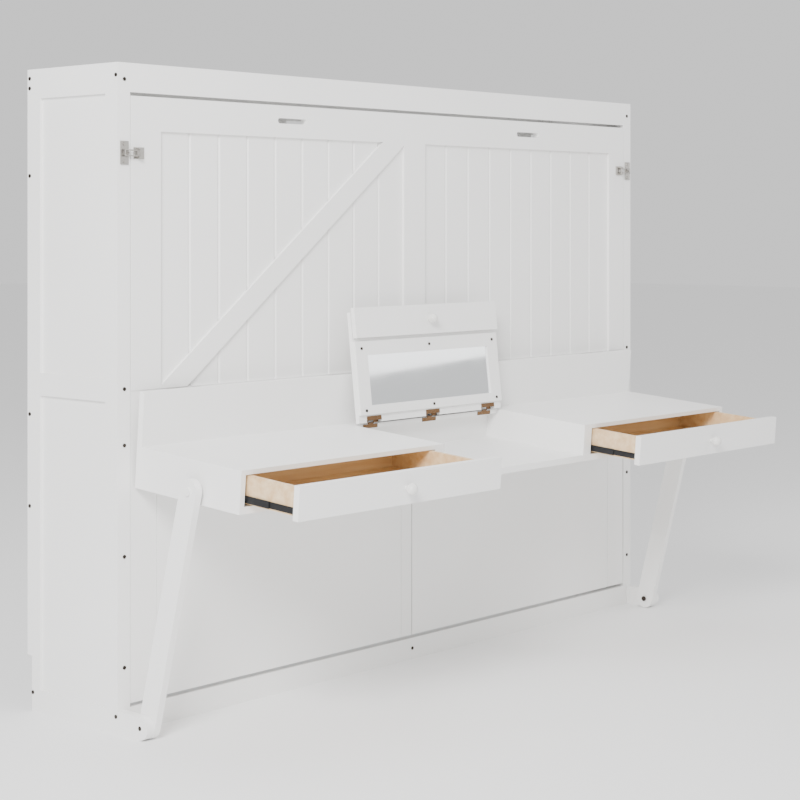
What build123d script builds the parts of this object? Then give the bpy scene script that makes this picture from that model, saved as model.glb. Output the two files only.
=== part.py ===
"""Side-tilting wall bed with a fold-down desk, drawers and a vanity lid. Millimetres, +Z up."""
from build123d import *
from math import cos, radians, sin
import os

os.makedirs("parts", exist_ok=True)

# Cabinet: X across, front plane at Y = 0, wall at +Y, floor at Z = 0
HALF = 1122.0
DEPTH = 372.0
HEIGHT = 1700.0
POST_W = 41.0
POST_FRONT = 49.0
POST_BACK = 318.0
# Bed
BED_X = 1079.0
BED_Z0 = 72.0
BED_Z1 = 1617.0
FACE_T = 20.0
BED_DEPTH = 165.0
PIVOT = (66.0, 326.0)
STUD_R = 10.0
FIT = 0.05
# Desk, in its own tilted frame: y = -depth, z = height above its underside
TILT = 4.4
DESK = Location((0, -3.5, 619), (TILT, 0, 0))
DESK_X = 1068.0
DESK_S = 388.0
DESK_T = 108.0
HINGE_S = -8.0
HINGE_T = 240.0
BAY_X = 319.0
DRAWER_OUT = 182.0
JOINT_LINE = 0.1
# Folding legs
LEG_S = 234.78
LEG_T = 34.5
FOOT = (-86.0, 31.0)
# Lid, hinged at the rear of the middle bay; u along the lid, w towards the mirror
LID_OPEN = 101.0
LID_S = 56.0
LID_T = 110.5
LID = DESK * Location((0, -LID_S, LID_T), (-LID_OPEN, 0, 0))


def bar(x0, x1, y0, y1, z0, z1, mode=Mode.ADD):
    """A board between two corners."""
    with Locations(((x0 + x1) / 2, (y0 + y1) / 2, (z0 + z1) / 2)):
        Box(abs(x1 - x0), abs(y1 - y0), abs(z1 - z0), mode=mode)


def rod(x0, x1, y, z, r, mode=Mode.ADD):
    """A round bar along X."""
    with Locations(Location(((x0 + x1) / 2, y, z), (0, 90, 0))):
        Cylinder(r, abs(x1 - x0), mode=mode)


def dome(x, y, z, r, h):
    """A screw or bolt head facing -Y, seated at y."""
    with Locations(Location((x, y - h / 2, z), (90, 0, 0))):
        Cylinder(r, h)


def save(piece, label):
    piece.part.label = label
    export_step(piece.part, f"parts/{label}.step")


def desk_point(s, t):
    a = radians(TILT)
    return (-3.5 - s * cos(a) - t * sin(a), 619 - s * sin(a) + t * cos(a))


HINGE = desk_point(HINGE_S, HINGE_T)
LEG_TOP = desk_point(LEG_S, LEG_T)

# ---- cabinet sides ----
with BuildPart() as front_post:
    for m in (-1, 1):
        bar(m * HALF, m * (HALF - POST_W), 0, POST_FRONT, 0, 1683)
save(front_post, "front_posts")

with BuildPart() as back_post:
    for m in (-1, 1):
        bar(m * HALF, m * (HALF - POST_W), POST_BACK, DEPTH, 0, 1683)
        bar(m * (HALF + 1), m * (HALF - POST_W - 1), DEPTH - 19, DEPTH + 1, -1, 147, Mode.SUBTRACT)
save(back_post, "back_posts")

with BuildPart() as foot_bracket:
    for m in (-1, 1):
        bar(m * HALF, m * (HALF - 22), FOOT[0], 0, 0, 60)
        rod(m * HALF, m * (HALF - 22), FOOT[0], FOOT[1], 29)
        rod(m * (HALF + 1), m * (HALF - 23), FOOT[0], FOOT[1], 6, Mode.SUBTRACT)
save(foot_bracket, "foot_brackets")

with BuildPart() as panels:
    for m in (-1, 1):
        bar(m * (HALF - 8), m * (HALF - 20), POST_FRONT, POST_BACK, 897, 1622)
        bar(m * (HALF - 8), m * (HALF - 20), POST_FRONT, POST_BACK, 60, 838)
save(panels, "side_panels")

with BuildPart() as pivot_stud:
    for m in (-1, 1):
        bar(m * (HALF - 20), m * (HALF - 28), 50, 130, 270, 382)
        rod(m * (HALF - 28), m * (HALF - 106), *PIVOT, STUD_R)
save(pivot_stud, "bed_pivot_studs")

with BuildPart() as foot_pin:
    for m in (-1, 1):
        rod(m * HALF, m * (HALF - 44), *FOOT, 6)
        rod(m * (HALF - 44), m * (HALF - 47), *FOOT, 8)
save(foot_pin, "foot_pivot_pins")

with BuildPart() as latch_base:
    for m in (-1, 1):
        bar(m * (HALF - 8), m * (HALF - 34), -3, 0, 1441, 1501)
        dome(m * (HALF - 21), -3, 1449, 4.5, 2)
        dome(m * (HALF - 21), -3, 1493, 4.5, 2)
        bar(m * (HALF - 24), m * (HALF - 30), -15, -3, 1468, 1474)
save(latch_base, "latch_catches")

for name, m in (("left", -1), ("right", 1)):
    with BuildPart() as side_rails:
        for z0, z1 in ((0, 60), (838, 897), (1622, 1683)):
            bar(m * HALF, m * (HALF - 28), POST_FRONT, POST_BACK, z0, z1)
    save(side_rails, f"side_rails_{name}")

    with BuildPart() as leg:
        length = ((LEG_TOP[0] - FOOT[0]) ** 2 + (LEG_TOP[1] - FOOT[1]) ** 2) ** 0.5
        lean = Vector(0, LEG_TOP[0] - FOOT[0], LEG_TOP[1] - FOOT[1])
        middle = Plane((m * (HALF - 32.5), FOOT[0] + lean.Y / 2, FOOT[1] + lean.Z / 2), lean, (1, 0, 0))
        with BuildSketch(middle):
            SlotCenterToCenter(length, 60)
        extrude(amount=10, both=True)
        rod(m * (HALF - 20), m * (HALF - 45), *FOOT, 6 + FIT, Mode.SUBTRACT)
        rod(m * (HALF - 20), m * (HALF - 45), *LEG_TOP, 6, Mode.SUBTRACT)
    save(leg, f"leg_{name}")

    with BuildPart() as leg_bolt:
        rod(m * (HALF - 18), m * (HALF - 22.5), *LEG_TOP, 11)
        rod(m * (HALF - 22.5), m * (HALF - 46), *LEG_TOP, 6)
    save(leg_bolt, f"leg_bolt_{name}")

with BuildPart() as cap:
    bar(-HALF, HALF, 0, DEPTH, 1683, HEIGHT)
save(cap, "cap")

with BuildPart() as header:
    bar(POST_W - HALF, HALF - POST_W, 0, 20, 1626, 1683)
save(header, "header_rail")

with BuildPart() as plinth:
    bar(POST_W - HALF, HALF - POST_W, 0, 20, 0, 62)
save(plinth, "plinth")

with BuildPart() as wall_rails:
    for z in (160, 1603):
        bar(POST_W - HALF, HALF - POST_W, 350, DEPTH, z, z + 80)
        with Locations([Location((x, 361, z + 40), (90, 0, 0)) for x in (-600, -200, 200, 600)]):
            Cylinder(4, 30, mode=Mode.SUBTRACT)
save(wall_rails, "wall_rails")

BOLTS = ((362, 1676), (362, 1650), (362, 1418), (362, 786), (362, 542), (6, 1668), (348, 50), (6, 45))
with BuildPart() as face_bolts:
    for x in (22 - HALF, HALF - 22):
        for z in (1658, 872, 729, 447, 166):
            dome(x, 0, z, 5, 1.5)
    dome(0, 0, 32, 5, 1.5)
    for m in (-1, 1):
        for y, z in BOLTS:
            rod(m * HALF, m * (HALF + 1.5), y, z, 5)
save(face_bolts, "cabinet_bolts")

# ---- bed ----
with BuildPart() as face_top:
    bar(-BED_X, BED_X, 0, FACE_T, 1529, BED_Z1)
    with BuildSketch(Plane.XZ):
        with Locations((-500, 1575), (555, 1575)):
            SlotOverall(112, 15)
    extrude(amount=-30, mode=Mode.SUBTRACT)
save(face_top, "bed_face_top_rail")

with BuildPart() as stiles:
    for x0, x1 in ((-BED_X, -978), (-36, 58), (998, BED_X)):
        bar(x0, x1, 0, FACE_T, 866, 1529)
save(stiles, "bed_stiles")

with BuildPart() as boards:
    for x0, x1 in ((-978, -36), (58, 998)):
        bar(x0, x1, 8, FACE_T, 866, 1529)
        with BuildSketch(Plane.XY.offset(860)):
            for i in range(1, 9):
                with Locations((x0 + i * (x1 - x0) / 9, 8)):
                    Rectangle(7, 7, rotation=45)
        extrude(amount=680, mode=Mode.SUBTRACT)
save(boards, "beadboards")

with BuildPart() as brace:
    with BuildSketch(Plane.XZ):
        with BuildLine():
            upper = [(-128, 1529), (-36, 1529), (-36, 1523)]
            lower_end = [(-888, 866), (-978, 866), (-978, 873)]
            Polyline(*upper, *lower_end, close=True)
        make_face()
    extrude(amount=-8)
save(brace, "bed_brace")

with BuildPart() as lower:
    bar(-BED_X, -2, 2, FACE_T, BED_Z0, 866)
    bar(2, BED_X, 2, FACE_T, BED_Z0, 866)
    for x in (-991, -47, 991):
        bar(x - 1, x + 1, 1, 3.5, BED_Z0 - 1, 867, Mode.SUBTRACT)
save(lower, "bed_lower_panels")

with BuildPart() as long_rails:
    for z0 in (BED_Z0, BED_Z1 - 18):
        bar(-BED_X + 20, BED_X - 20, FACE_T, BED_DEPTH, z0, z0 + 18)
save(long_rails, "bed_long_rails")

for name, m in (("left", -1), ("right", 1)):
    with BuildPart() as end_rail:
        bar(m * (HALF - 82), m * (HALF - 104), FACE_T, BED_DEPTH, BED_Z0 + 18, BED_Z1 - 18)
        rod(m * (HALF - 80), m * (HALF - 106), *PIVOT, STUD_R + FIT, Mode.SUBTRACT)
    save(end_rail, f"bed_end_rail_{name}")

    with BuildPart() as bail:
        with Locations((m * (HALF - 66), -9, 1471)):
            Cylinder(2.5, 17.8)
        for z in (1464, 1478):
            rod(m * (HALF - 66), m * (HALF - 18), -9, z, 2)
        with Locations((m * (HALF - 18), -9, 1471)):
            Cylinder(2, 18)
    save(bail, f"latch_bail_{name}")

with BuildPart() as keeper:
    for m in (-1, 1):
        bar(m * (HALF - 52), m * (HALF - 86), -2, 0, 1456, 1486)
        for z in (1458, 1480):
            bar(m * (HALF - 60), m * (HALF - 72), -14, -2, z, z + 4)
save(keeper, "latch_keepers")

with BuildPart() as beam:
    bar(104 - HALF, HALF - 104, FACE_T + 20, FACE_T + 60, 820, 860)
save(beam, "bed_centre_beam")

with BuildPart() as slats:
    for i in range(13):
        x = -960 + i * 160
        bar(x - 35, x + 35, FACE_T + 60, FACE_T + 72, BED_Z0 + 18, BED_Z1 - 18)
save(slats, "bed_slats")

# ---- desk ----
with BuildPart() as desk_bottom:
    with Locations(DESK):
        bar(-DESK_X, DESK_X, -DESK_S, 0, 0, 18)
save(desk_bottom, "desk_bottom")

with BuildPart() as backsplash:
    with Locations(DESK):
        bar(-DESK_X, DESK_X, -18, 0, 18, 247)
save(backsplash, "desk_backsplash")

with BuildPart() as desk_hinge:
    for x in (-900, -300, 300, 900):
        rod(x - 60, x + 60, *HINGE, 5)
        bar(x - 60, x + 60, HINGE[0] - 1, 0, HINGE[1] + 2, HINGE[1] + 4.5)
        rod(x - 61, x + 61, *HINGE, 2.55, Mode.SUBTRACT)
        bar(x - 61, x - 20, -40, -2, HINGE[1] - 9, HINGE[1] + 9, Mode.SUBTRACT)
        bar(x + 20, x + 61, -40, -2, HINGE[1] - 9, HINGE[1] + 9, Mode.SUBTRACT)
save(desk_hinge, "desk_hinge_bed_leaves")

with BuildPart() as desk_pins:
    for x in (-900, -300, 300, 900):
        rod(x - 60, x + 60, *HINGE, 2.5)
        for x0, x1 in ((x - 60, x - 21), (x + 21, x + 60)):
            with Locations(DESK):
                bar(x0, x1, 0, -HINGE_S, HINGE_T - 2, HINGE_T + 2)
save(desk_pins, "desk_hinge_pins")

for name, m in (("left", -1), ("right", 1)):
    x_in = m * (BAY_X + 46)
    x_out = m * (DESK_X - 25)
    b_in = x_in + m * (12 + JOINT_LINE)
    b_out = x_out - m * (12 + JOINT_LINE)
    front_in = m * BAY_X
    front_out = m * (DESK_X + 2 if m < 0 else DESK_X)
    with BuildPart() as middle_slides:
        with Locations(DESK * Location((0, -DRAWER_OUT / 2, 0))):
            bar(m * (BAY_X + 41.3), m * (BAY_X + 43.5), -375, -50, 27, 45)
            bar(m * (DESK_X - 20.3), m * (DESK_X - 22.5), -375, -50, 27, 45)
    save(middle_slides, f"slide_middle_members_{name}")

    with BuildPart() as drawer_box:
        with Locations(DESK * Location((0, -DRAWER_OUT, 0))):
            bar(x_in, x_in + m * 12, -DESK_S - 1, -60, 24, 94)
            bar(x_out - m * 12, x_out, -DESK_S - 1, -60, 24, 94)
            bar(b_in, b_out, -DESK_S - 1, -DESK_S + 11, 24, 94)
            bar(b_in, b_out, -72, -60, 24, 94)
            bar(b_in, b_out, -DESK_S + 11 + JOINT_LINE, -72 - JOINT_LINE, 24, 30)
    save(drawer_box, f"drawer_box_{name}")

    with BuildPart() as inner_slides:
        with Locations(DESK * Location((0, -DRAWER_OUT, 0))):
            bar(x_in, m * (BAY_X + 43.8), -380, -62, 28, 44)
            bar(x_out, m * (DESK_X - 22.8), -380, -62, 28, 44)
    save(inner_slides, f"slide_drawer_members_{name}")

    with BuildPart() as drawer_front:
        with Locations(DESK * Location((0, -DRAWER_OUT, 0))):
            bar(front_in, front_out, -DESK_S - 19, -DESK_S - 1, 20, 104)
    save(drawer_front, f"drawer_front_{name}")

    with BuildPart() as knob:
        x = m * (BAY_X + DESK_X) / 2
        with Locations(DESK * Location((x, -DRAWER_OUT - DESK_S - 19, 62), (90, 0, 0))):
            Cylinder(6, 14, align=(Align.CENTER, Align.CENTER, Align.MIN))
            with Locations((0, 0, 19)):
                Sphere(15)
    save(knob, f"drawer_knob_{name}")

with BuildPart() as end_panel:
    for m in (-1, 1):
        with Locations(DESK):
            bar(m * DESK_X, m * (DESK_X - 15), -DESK_S, -18, 18, 96)
save(end_panel, "desk_end_panels")

with BuildPart() as divider:
    for m in (-1, 1):
        with Locations(DESK):
            bar(m * (BAY_X + 36), m * BAY_X, -DESK_S, -18, 18, 96)
save(divider, "desk_dividers")

with BuildPart() as top_board:
    for m in (-1, 1):
        with Locations(DESK):
            bar(m * DESK_X, m * BAY_X, -DESK_S, -18, 96, DESK_T)
save(top_board, "desk_tops")

with BuildPart() as insert:
    for m in (-1, 1):
        rod(m * DESK_X, m * (DESK_X + 4), *LEG_TOP, 12)
        rod(m * (DESK_X - 1), m * (DESK_X + 5), *LEG_TOP, 6.5, Mode.SUBTRACT)
save(insert, "desk_leg_inserts")

with BuildPart() as slides:
    with Locations(DESK):
        for m in (-1, 1):
            bar(m * (BAY_X + 36), m * (BAY_X + 41), -380, -24, 26, 46)
            bar(m * (DESK_X - 15), m * (DESK_X - 20), -380, -24, 26, 46)
save(slides, "slide_fixed_members")

with BuildPart() as rear_strip:
    with Locations(DESK):
        bar(-BAY_X, BAY_X, -54, -18, 96, DESK_T)
save(rear_strip, "desk_rear_strip")

# ---- vanity lid ----
HINGE_X = (-254, 0, 254)
FLAP_HINGE_X = (-210, 210)
with BuildPart() as lid_board:
    with Locations(LID):
        bar(-317, 317, -316, -2, -14.5, -2.5)
        for x in HINGE_X:
            bar(x - 31, x + 31, -9.5, 0, -16, 0, Mode.SUBTRACT)
        for x in FLAP_HINGE_X:
            bar(x - 26, x + 26, -317, -313, -15, -11, Mode.SUBTRACT)
save(lid_board, "lid_board")

with BuildPart() as mirror_frame:
    with Locations(LID):
        bar(-315, 315, -232, -24, -22.5, -14.5)
        bar(-267, 267, -192, -50, -30, -10, Mode.SUBTRACT)
save(mirror_frame, "mirror_frame")

with BuildPart() as mirror_glass:
    with Locations(LID):
        bar(-267, 267, -192, -50, -18, -14.5)
save(mirror_glass, "mirror_glass")

with BuildPart() as lid_screws:
    for x in (-291, 0, 291):
        for u in (36, 212):
            with Locations(LID * Location((x, -u, -23.5))):
                Cylinder(4, 2)
save(lid_screws, "mirror_frame_screws")

with BuildPart() as hinge_fixed:
    for x in HINGE_X:
        with Locations(DESK):
            bar(x - 30, x + 30, -55.5, -54, 96, 107)
            bar(x - 10, x + 10, -55.5, -54, 107, 112)
        with Locations(DESK * Location((x, -LID_S, LID_T), (0, 90, 0))):
            Cylinder(2, 20)
save(hinge_fixed, "lid_hinge_fixed_leaves")

with BuildPart() as hinge_moving:
    with Locations(LID):
        for x in HINGE_X:
            bar(x - 30, x + 30, -20, -8.2, -16, -14.5)
            bar(x - 30, x + 30, -9.5, -8.2, -14.5, 1)
            for x0, x1 in ((x - 30, x - 11), (x + 11, x + 30)):
                bar(x0, x1, -8.2, -1, -1, 1)
save(hinge_moving, "lid_hinge_moving_leaves")

with BuildPart() as fascia:
    with Locations(LID):
        bar(-315, 315, -328, -242, -30, -16)
        for x in FLAP_HINGE_X:
            bar(x - 26, x + 26, -329, -313, -20, -15, Mode.SUBTRACT)
save(fascia, "lid_fascia")

with BuildPart() as flap_hinges:
    for x in FLAP_HINGE_X:
        with Locations(LID):
            bar(x - 22, x + 22, -317, -313, -14.5, -12)
        with Locations(LID * Location((x, -317, -15.5), (0, 90, 0))):
            Cylinder(3, 44)
save(flap_hinges, "fascia_hinges")

with BuildPart() as fascia_knob:
    with Locations(LID * Location((0, -285, -30))):
        Cylinder(6, 12, align=(Align.CENTER, Align.CENTER, Align.MAX))
        with Locations((0, 0, -17)):
            Sphere(14)
save(fascia_knob, "fascia_knob")
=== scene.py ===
import math

import bpy
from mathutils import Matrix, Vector

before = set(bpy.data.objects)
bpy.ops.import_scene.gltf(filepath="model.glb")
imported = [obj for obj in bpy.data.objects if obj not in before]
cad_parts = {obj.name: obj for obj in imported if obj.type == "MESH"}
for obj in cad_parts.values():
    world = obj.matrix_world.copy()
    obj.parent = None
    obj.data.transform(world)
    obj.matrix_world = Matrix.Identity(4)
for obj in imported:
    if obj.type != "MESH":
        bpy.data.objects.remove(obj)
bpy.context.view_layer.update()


def material(name, color, rough=0.5, metallic=0.0, coat=0.0):
    """A plain principled material, with its nodes, links and shader for more detail."""
    mat = bpy.data.materials.new(name)
    mat.use_nodes = True
    nodes = mat.node_tree.nodes
    bsdf = nodes["Principled BSDF"]
    bsdf.inputs["Base Color"].default_value = (*color, 1)
    bsdf.inputs["Roughness"].default_value = rough
    bsdf.inputs["Metallic"].default_value = metallic
    bsdf.inputs["Coat Weight"].default_value = coat
    return mat, nodes, mat.node_tree.links, bsdf


def coords(nodes, links, scale):
    tex = nodes.new("ShaderNodeTexCoord")
    mapping = nodes.new("ShaderNodeMapping")
    mapping.inputs["Scale"].default_value = scale
    links.new(tex.outputs["Object"], mapping.inputs["Vector"])
    return mapping.outputs["Vector"]


def noise(nodes, links, vector, scale, detail=5.0):
    tex = nodes.new("ShaderNodeTexNoise")
    tex.inputs["Scale"].default_value = scale
    tex.inputs["Detail"].default_value = detail
    links.new(vector, tex.inputs["Vector"])
    return tex.outputs["Fac"]


def ramp(nodes, links, fac, low, high, start=0.3, end=0.7):
    node = nodes.new("ShaderNodeValToRGB")
    node.color_ramp.elements[0].position = start
    node.color_ramp.elements[1].position = end
    node.color_ramp.elements[0].color = (*low, 1)
    node.color_ramp.elements[1].color = (*high, 1)
    links.new(fac, node.inputs["Fac"])
    return node.outputs["Color"]


def bump(nodes, links, bsdf, height, strength, distance):
    node = nodes.new("ShaderNodeBump")
    node.inputs["Strength"].default_value = strength
    node.inputs["Distance"].default_value = distance
    links.new(height, node.inputs["Height"])
    links.new(node.outputs["Normal"], bsdf.inputs["Normal"])


def rough_range(nodes, links, bsdf, fac, low, high):
    node = nodes.new("ShaderNodeMapRange")
    node.inputs["To Min"].default_value = low
    node.inputs["To Max"].default_value = high
    links.new(fac, node.inputs["Value"])
    links.new(node.outputs["Result"], bsdf.inputs["Roughness"])


def painted(name, along):
    """Satin white paint with faint brush marks and grain telegraphing along one axis."""
    mat, nodes, links, bsdf = material(name, (0.83, 0.815, 0.78), 0.38)
    stretch = [26.0, 26.0, 26.0]
    stretch[along] = 1.2
    grain = noise(nodes, links, coords(nodes, links, stretch), 9.0)
    cloud = noise(nodes, links, coords(nodes, links, (1, 1, 1)), 2.2, 3.0)
    links.new(ramp(nodes, links, cloud, (0.90, 0.895, 0.88), (0.93, 0.925, 0.915)), bsdf.inputs["Base Color"])
    rough_range(nodes, links, bsdf, grain, 0.32, 0.48)
    bump(nodes, links, bsdf, grain, 0.10, 0.0006)
    return mat


def pine(name):
    """Clear-coated pine: growth lines along X with warm streaks."""
    mat, nodes, links, bsdf = material(name, (0.72, 0.50, 0.27), 0.4)
    vec = coords(nodes, links, (0.9, 14, 14))
    grain = noise(nodes, links, vec, 3.2, 8.0)
    links.new(ramp(nodes, links, grain, (0.66, 0.43, 0.22), (0.84, 0.64, 0.40)), bsdf.inputs["Base Color"])
    fine = noise(nodes, links, coords(nodes, links, (2, 90, 90)), 5.0, 4.0)
    rough_range(nodes, links, bsdf, fine, 0.34, 0.52)
    bump(nodes, links, bsdf, fine, 0.15, 0.0004)
    return mat


def metal(name, color, rough, brushed=True, metallic=1.0):
    mat, nodes, links, bsdf = material(name, color, rough, metallic)
    vec = coords(nodes, links, (3, 60, 60) if brushed else (8, 8, 8))
    fac = noise(nodes, links, vec, 12.0, 6.0)
    dark = tuple(c * 0.82 for c in color)
    links.new(ramp(nodes, links, fac, dark, color), bsdf.inputs["Base Color"])
    rough_range(nodes, links, bsdf, fac, rough - 0.06, rough + 0.1)
    bump(nodes, links, bsdf, fac, 0.08, 0.0002)
    return mat


PAINT_X = painted("paint_along_x", 0)
PAINT_Z = painted("paint_along_z", 2)
PINE = pine("pine")
BLACK = metal("black_slide", (0.03, 0.03, 0.032), 0.42, metallic=0.7)
BRONZE = metal("bronze", (0.20, 0.115, 0.06), 0.4, brushed=False)
DARK = metal("dark_bolt", (0.055, 0.045, 0.038), 0.42, brushed=False)
NICKEL = metal("nickel", (0.50, 0.48, 0.45), 0.32)
KNOB = metal("knob_gloss", (0.88, 0.87, 0.84), 0.2, brushed=False, metallic=0.0)
MIRROR, m_nodes, m_links, m_bsdf = material("mirror_silver", (0.9, 0.92, 0.93), 0.03, 1.0)
smudge = noise(m_nodes, m_links, coords(m_nodes, m_links, (4, 4, 4)), 2.0)
rough_range(m_nodes, m_links, m_bsdf, smudge, 0.02, 0.07)

UPRIGHT = (
    "post", "stile", "beadboards", "side_panels", "end_rail",
    "leg_left", "leg_right", "brace", "slats",
)
EDGE_RADIUS = 0.0014
EDGE_ANGLE = math.radians(40)


def pick(name):
    if name == "mirror_glass":
        return MIRROR
    if name.startswith("drawer_box"):
        return PINE
    if name.startswith("slide_"):
        return BLACK
    if name.startswith("lid_hinge") or name == "fascia_hinges":
        return BRONZE
    if "knob" in name:
        return KNOB
    if name.startswith("leg_bolt"):
        return PAINT_X
    if name in ("cabinet_bolts", "mirror_frame_screws", "foot_pivot_pins"):
        return DARK
    if "latch" in name or name.startswith("desk_hinge") or name in ("bed_pivot_studs", "desk_leg_inserts"):
        return NICKEL
    return PAINT_Z if any(word in name for word in UPRIGHT) else PAINT_X


METAL_PARTS = ("bolt", "screw", "latch", "slide_", "hinge", "pins", "studs", "inserts", "knob", "glass")
for obj in [o for o in bpy.data.objects if o.type == "MESH"]:
    mat = pick(obj.name)
    if not obj.material_slots:
        obj.data.materials.append(mat)
    for slot in obj.material_slots:
        slot.material = mat
    if not any(word in obj.name for word in METAL_PARTS):
        edge = obj.modifiers.new("eased_edges", "BEVEL")
        edge.width = EDGE_RADIUS
        edge.segments = 2
        edge.limit_method = "ANGLE"
        edge.angle_limit = EDGE_ANGLE
        edge.harden_normals = True

# Plain pale floor
floor_mat, _, _, _ = material("floor_white", (0.94, 0.94, 0.94), 0.7)
bpy.ops.mesh.primitive_plane_add(size=60, location=(0, 0, 0))
floor = bpy.context.object
floor.name = "stage_floor"
floor.data.materials.append(floor_mat)

world = bpy.data.worlds.new("studio")
bpy.context.scene.world = world
world.use_nodes = True
world.node_tree.nodes["Background"].inputs["Color"].default_value = (1, 1, 1, 1)
world.node_tree.nodes["Background"].inputs["Strength"].default_value = 0.95


def area(name, location, target, size, power):
    data = bpy.data.lights.new(name, "AREA")
    data.energy = power
    data.size = size
    lamp = bpy.data.objects.new(name, data)
    lamp.location = location
    lamp.rotation_euler = (Vector(target) - Vector(location)).to_track_quat("-Z", "Y").to_euler()
    bpy.context.scene.collection.objects.link(lamp)


area("key", (-4.6, -2.6, 3.6), (0, 0, 0.8), 1.8, 420)
area("fill", (4.2, -4.0, 3.0), (0, 0, 0.8), 3.5, 70)
area("top", (0, -0.5, 5.0), (0, -0.2, 0.5), 3.0, 60)

camera_data = bpy.data.cameras.new("camera")
camera_data.sensor_width = 36.0
camera_data.lens = 84.4
camera_data.shift_x = 0.0084
camera_data.shift_y = -0.219
camera = bpy.data.objects.new("camera", camera_data)
camera.location = (-4.1668, -3.6943, 1.2883)
camera.rotation_euler = (math.radians(90), 0, math.radians(-47.86))
bpy.context.scene.collection.objects.link(camera)
bpy.context.scene.camera = camera
